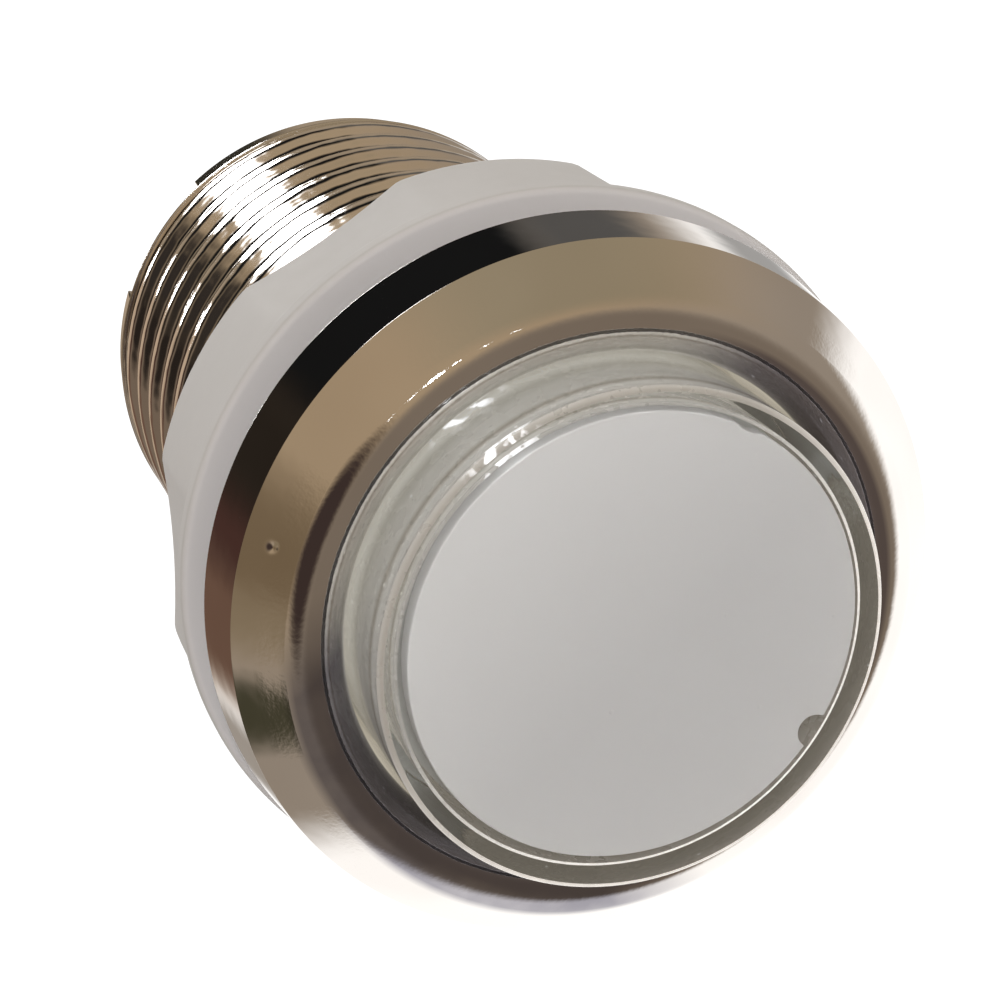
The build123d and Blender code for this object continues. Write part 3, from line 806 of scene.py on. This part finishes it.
def worn_and_lit_edge():
    """Rubbed edges of the clear cup, with painted light: whiter and glowing on the side away from the
    window light, with painted glints.
    """
    made = material("worn_and_lit_edge", {"IOR": CLEAR_IOR, "Transmission Weight": 0.2})
    # Painted light: the side away from the window light is whiter and glows
    side = along(made, "Y", (-5.0, 4.0), OFF_TO_ON)
    rubbed = spread(made, noise(made, 2.0, 3.0), NOISE_SPAN, (0.7, 1.0))
    white = times(made, side, rubbed)
    feed(made, between(made, white, (0.72, 0.71, 0.68), (0.92, 0.91, 0.89)), "Base Color")
    glow = between(made, white, DARK, (0.40, 0.375, 0.35))
    glowing(made, between(made, glints(made), glow, GLINT))
    feed(made, spread(made, noise(made, 1.0, 3.0), NOISE_SPAN, (0.2, 0.45)), "Roughness")
    return made


def diffuser_plastic():
    """Matt white diffuser with painted light that makes it brighter towards the window light, with dust
    specks.
    """
    made = material("diffuser_plastic", {"IOR": 1.45})
    # Painted light: the disc is paler towards the window side
    light = along(made, "Y", (1.0, -9.0), OFF_TO_ON)
    feed(made, between(made, light, (0.80, 0.805, 0.82), (0.98, 0.985, 0.995)), "Base Color")
    feed(made, spread(made, noise(made, 2.0, 2.0), NOISE_SPAN, (0.45, 0.6)), "Roughness")
    bumps(made, (specks(made, 0.35, 0.05), 0.02), (noise(made, 5.0, 2.0), 0.004))
    return made


def moulded(name, dark, light, roughness, gloss_grain):
    """Moulded plastic: cloudy colour between two tones, with a fine grain."""
    made = material(name, {"IOR": 1.5})
    feed(made, between(made, noise(made, 0.4, 3.0), dark, light), "Base Color")
    feed(made, spread(made, noise(made, 1.5, 3.0), NOISE_SPAN, roughness), "Roughness")
    bumps(made, (noise(made, 4.0, 2.0), gloss_grain))
    return made


def drawn_metal(name, dull, bright, roughness, stretch):
    """Bare metal with fine marks along its length."""
    made = material(name, {"Metallic": 1.0})
    marks = noise(made, 6.0, 3.0, stretch)
    feed(made, between(made, marks, dull, bright), "Base Color")
    feed(made, spread(made, marks, NOISE_SPAN, roughness), "Roughness")
    bumps(made, (marks, 0.004))
    return made


def spring_steel():
    """Bright drawn wire."""
    return drawn_metal("spring_steel", (0.52, 0.52, 0.53), (0.68, 0.68, 0.69), (0.18, 0.34), (1, 1, 1))


def lamp_epoxy():
    """Clear cast resin, a little milky."""
    made = material("lamp_epoxy", {"IOR": 1.53, "Transmission Weight": 0.85})
    feed(made, between(made, noise(made, 0.5, 2.0), (0.92, 0.93, 0.90), (0.97, 0.97, 0.95)), "Base Color")
    feed(made, spread(made, noise(made, 1.5, 2.0), NOISE_SPAN, (0.06, 0.16)), "Roughness")
    bumps(made, (noise(made, 2.0, 2.0), 0.004))
    return made


def node_materials():
    """The material of each node that is shown as it is."""
    black = moulded("black_plastic", (0.018, 0.018, 0.02), (0.035, 0.035, 0.038), (0.35, 0.55), 0.006)
    insert = moulded("insert_plastic", (0.03, 0.03, 0.032), (0.05, 0.05, 0.052), (0.4, 0.6), 0.006)
    milky = moulded("carrier_plastic", (0.62, 0.63, 0.60), (0.72, 0.73, 0.70), (0.3, 0.45), 0.005)
    red = moulded("switch_button_plastic", (0.42, 0.03, 0.025), (0.55, 0.06, 0.05), (0.25, 0.4), 0.004)
    brass = drawn_metal("terminal_brass", (0.66, 0.52, 0.27), (0.82, 0.70, 0.42), (0.2, 0.4), (1, 1, 0.1))
    steel = drawn_metal("lever_steel", (0.55, 0.55, 0.56), (0.70, 0.70, 0.71), (0.2, 0.38), (0.1, 1, 1))
    tin = drawn_metal("tinned_lead", (0.58, 0.58, 0.58), (0.74, 0.74, 0.73), (0.25, 0.45), (1, 1, 0.1))
    return {
        "plunger_carrier": milky,
        "insert_base": insert,
        "lamp_lens": lamp_epoxy(),
        "lamp_lead_left": tin,
        "lamp_lead_right": tin,
        "lamp_terminal_left": brass,
        "lamp_terminal_right": brass,
        "switch_case": black,
        "switch_cover": black,
        "switch_lever": steel,
        "switch_button": red,
        "switch_blade": brass,
        "switch_terminal_common": brass,
        "switch_terminal_open": brass,
        "switch_terminal_closed": brass,
    }


def dress(piece, *finishes):
    """Gives a piece its materials and keeps which of them each face has."""
    faces = [face.material_index for face in piece.data.polygons]
    piece.data.materials.clear()
    for made in finishes:
        piece.data.materials.append(made)
    piece.data.polygons.foreach_set("material_index", [min(i, len(finishes) - 1) for i in faces])


# Studio

FLOOR_HALF = 400.0
FLOOR_GLOW = 1.15


def direction(azimuth, elevation):
    """Unit vector; azimuth in degrees from +X towards +Y, elevation above the floor's plane."""
    a, e = math.radians(azimuth), math.radians(elevation)
    return Vector((math.cos(e) * math.cos(a), math.cos(e) * math.sin(a), math.sin(e)))


# Small window panes at one elevation, as (azimuth, radius): a dotted sparkle on the lip
SPARKLES = [(-84, 0.4), (-93, 0.5), (-102, 1.3), (-111, 0.6), (-121, 0.5), (-132, 0.4)]
SPARKLE_ELEVATION = 51
SPARKLE_TINT = (0.95, 0.97, 1.0)
SPARKLE_STRENGTH = 20

# Tint of the large windows
WINDOW_TINT = (1.0, 0.99, 0.98)

# Surroundings that the plating mirrors: (azimuth, elevation, radius, soft edge) in degrees, colour and
# strength. Each patch lies over those before it.
SURROUNDINGS = [
    # warm room in front, with darker spots
    ((-100, 10, 75, 25), (0.37, 0.275, 0.175), 1.0),
    ((-140, 12, 25, 20), (0.29, 0.235, 0.155), 1.0),
    ((-42, 8, 14, 10), (0.17, 0.12, 0.07), 1.0),
    ((-25, 2, 8, 5), (0.23, 0.175, 0.11), 1.0),
    ((90, 75, 32, 15), (0.19, 0.15, 0.115), 1.0),
    ((-40, 48, 22, 8), (0.045, 0.030, 0.026), 1.0),
    # sparkle on the lip
    *[((azimuth, SPARKLE_ELEVATION, size, size / 2), SPARKLE_TINT, SPARKLE_STRENGTH * size)
      for azimuth, size in SPARKLES],
    # dark middle of the skirt
    ((-125, -54, 17, 6), (0.008, 0.008, 0.008), 1.0),
    ((-85, -54, 17, 6), (0.008, 0.008, 0.008), 1.0),
    ((-25, -40, 24, 10), (0.17, 0.125, 0.09), 1.0),
    # white surroundings behind, and a dark spot in them
    ((90, -20, 62, 8), (1.0, 0.98, 0.96), 1.15),
    ((-5, -4, 10, 3), (0.055, 0.05, 0.03), 1.0),
    # below: the skirt's two ends and the barrel's flanks
    ((0, -90, 26, 5), (0.32, 0.25, 0.175), 1.0),
    ((0, -68, 14, 6), (0.50, 0.37, 0.26), 1.0),
    ((-167, -54, 9, 5), (0.09, 0.085, 0.08), 1.0),
    ((135, -58, 7, 4), (0.37, 0.36, 0.35), 1.0),
    ((45, -58, 7, 4), (0.34, 0.30, 0.26), 1.0),
    ((0, -53, 12, 5), (0.14, 0.08, 0.055), 1.0),
    ((-30, -54, 8, 5), (0.06, 0.028, 0.022), 1.0),
    ((-52, -54, 9, 6), (0.02, 0.015, 0.011), 1.0),
    # dark spots beside the barrel's glare
    ((0, -90, 9, 3), (0.03, 0.027, 0.02), 1.0),
    ((-66, -24, 13, 7), (0.03, 0.024, 0.02), 1.0),
    ((-42, -22, 12, 6), (0.02, 0.015, 0.012), 1.0),
    # windows that glare on the barrel
    ((-103, -13, 12, 3), WINDOW_TINT, 5.0),
    ((-103, -33, 9, 3), WINDOW_TINT, 5.0),
    ((-108, -71, 8.5, 1.5), WINDOW_TINT, 14.0),
    ((-45, -71, 2.4, 0.8), WINDOW_TINT, 20.0),
]
SURROUNDINGS_BASE = (0.30, 0.25, 0.20)
WORLD_MAP_SIZE = 512


def make_world():
    """White to the camera, and soft coloured surroundings to everything else."""
    world = bpy.data.worlds.new("studio")
    bpy.context.scene.world = world
    world.use_nodes = True
    world.cycles.sampling_method = "MANUAL"
    world.cycles.sample_map_resolution = WORLD_MAP_SIZE
    nodes, links = world.node_tree.nodes, world.node_tree.links
    nodes.clear()
    ray = nodes.new("ShaderNodeTexCoord").outputs["Generated"]
    colour = None
    for (azimuth, elevation, radius, soft), tint, strength in SURROUNDINGS:
        dot = nodes.new("ShaderNodeVectorMath")
        dot.operation = "DOT_PRODUCT"
        dot.inputs[1].default_value = direction(azimuth, elevation)
        links.new(ray, dot.inputs[0])
        edge = nodes.new("ShaderNodeMapRange")
        edge.interpolation_type = "SMOOTHSTEP"
        edge.inputs["From Min"].default_value = math.cos(math.radians(radius + soft))
        edge.inputs["From Max"].default_value = math.cos(math.radians(radius - soft))
        links.new(dot.outputs["Value"], edge.inputs["Value"])
        mix = nodes.new("ShaderNodeMix")
        mix.data_type = "RGBA"
        mix.inputs["A"].default_value = (*SURROUNDINGS_BASE, 1)
        if colour:
            links.new(colour, mix.inputs["A"])
        mix.inputs["B"].default_value = (*[c * strength for c in tint], 1)
        links.new(edge.outputs["Result"], mix.inputs["Factor"])
        colour = mix.outputs["Result"]
    around = nodes.new("ShaderNodeBackground")
    links.new(colour, around.inputs["Color"])
    backdrop = nodes.new("ShaderNodeBackground")
    backdrop.inputs["Color"].default_value = (1, 1, 1, 1)
    path = nodes.new("ShaderNodeLightPath")
    pick = nodes.new("ShaderNodeMixShader")
    links.new(path.outputs["Is Camera Ray"], pick.inputs["Fac"])
    links.new(around.outputs["Background"], pick.inputs[1])
    links.new(backdrop.outputs["Background"], pick.inputs[2])
    out = nodes.new("ShaderNodeOutputWorld")
    links.new(pick.outputs["Shader"], out.inputs["Surface"])


def make_floor():
    """Pale floor under the rear rim, bright enough to show no shadow. The plating doesn't mirror it."""
    mesh = bpy.data.meshes.new("floor")
    half = FLOOR_HALF * MM
    sides = ((-half, -half), (half, -half), (half, half), (-half, half))
    mesh.from_pydata([(x, y, RIM_Z * MM) for x, y in sides], [], [(0, 1, 2, 3)])
    floor = bpy.data.objects.new("floor", mesh)
    bpy.context.scene.collection.objects.link(floor)
    sockets = {
        "Base Color": (0, 0, 0, 1),
        "Specular IOR Level": 0.0,
        "Emission Color": (1, 1, 1, 1),
        "Emission Strength": FLOOR_GLOW,
    }
    dress(floor, material("floor_white", sockets))
    floor.visible_glossy = False


# Square soft lights: name, azimuth, elevation, size in millimetres, power and colour
LIGHT_DISTANCE = 420
LIGHTS = [
    ("front_light", -105, 50, 80, 0.32, (0.97, 0.985, 1.0)),
    ("side_light", -100, 12, 200, 0.05, (0.98, 0.985, 1.0)),
    ("top_light", -80, 80, 300, 0.16, (0.95, 0.975, 1.0)),
    ("rear_light", 90, -5, 200, 0.35, (1.0, 0.985, 0.97)),
]


def make_light(name, azimuth, elevation, size, power, colour):
    """Soft light that looks at the button from a direction and isn't mirrored in its plating."""
    data = bpy.data.lights.new(name, "AREA")
    data.size = size * MM
    data.energy = power
    data.color = colour
    light = bpy.data.objects.new(name, data)
    away = direction(azimuth, elevation)
    light.location = away * LIGHT_DISTANCE * MM
    light.rotation_euler = away.to_track_quat("Z", "Y").to_euler()
    light.visible_glossy = False
    bpy.context.scene.collection.objects.link(light)


# Camera: the bezel's edge circle lies this far right, down and ahead of it, and the axis leans towards it
CAMERA_OFFSET = (4.18, 4.43, 106.9)
AXIS_TILT = 27.57
AXIS_TURN = 45.86
LENS = 86.4
SENSOR = 36.0
CLIP_START = 1.0


def make_camera():
    """Camera at the photo's place, with the photo's angle of view."""
    tilt, turn = math.radians(AXIS_TILT), math.radians(AXIS_TURN)
    ahead = Vector((math.sin(tilt) * math.cos(turn), math.sin(tilt) * math.sin(turn), -math.cos(tilt)))
    side = Vector((math.cos(tilt) * math.cos(turn), math.cos(tilt) * math.sin(turn), math.sin(tilt)))
    row_axes = (side.cross(ahead), side, ahead)
    offset = Vector(CAMERA_OFFSET)
    location = Vector([-offset.dot(axis) for axis in row_axes]) + Vector((0, 0, EDGE_Z))
    right, down, forward = [Vector([axis[i] for axis in row_axes]) for i in range(3)]
    pose = Matrix((right, -down, -forward)).transposed().to_4x4()
    pose.translation = location * MM
    data = bpy.data.cameras.new("camera")
    data.lens = LENS
    data.sensor_width = SENSOR
    data.clip_start = CLIP_START * MM
    camera = bpy.data.objects.new("camera", data)
    camera.matrix_world = pose
    bpy.context.scene.collection.objects.link(camera)
    bpy.context.scene.camera = camera


# The pieces that stand for nodes: maker, node, body, slot and materials
PIECES = [
    (make_housing, "housing", "body", "chrome_plating", [chrome()]),
    (make_nut, "panel_nut", "nut", "nut_plastic", [nut_plastic()]),
    (make_cap, "plunger_cap", "plunger", "clear_plastic", [clear_plastic(), cup_wall(), worn_and_lit_edge()]),
    (make_disc, "diffuser_disc", "plunger", "diffuser_plastic", [diffuser_plastic()]),
    (make_spring, "return_spring", "body", "spring_steel", [spring_steel()]),
]

for maker, node, body, slot, finishes in PIECES:
    piece = maker()
    dress(piece, *finishes)
    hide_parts(node)
    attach(piece, body)
    piece.visible_shadow = node != "plunger_cap"
    if node == "return_spring":
        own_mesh(piece)

for node, finish in node_materials().items():
    dress(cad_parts[node], finish)

make_world()
make_floor()
for light in LIGHTS:
    make_light(*light)
make_camera()
bpy.context.scene.view_settings.view_transform = "Standard"
bounces = bpy.context.scene.cycles
bounces.max_bounces = 6
bounces.diffuse_bounces = 1
bounces.glossy_bounces = 3
bounces.transmission_bounces = 6
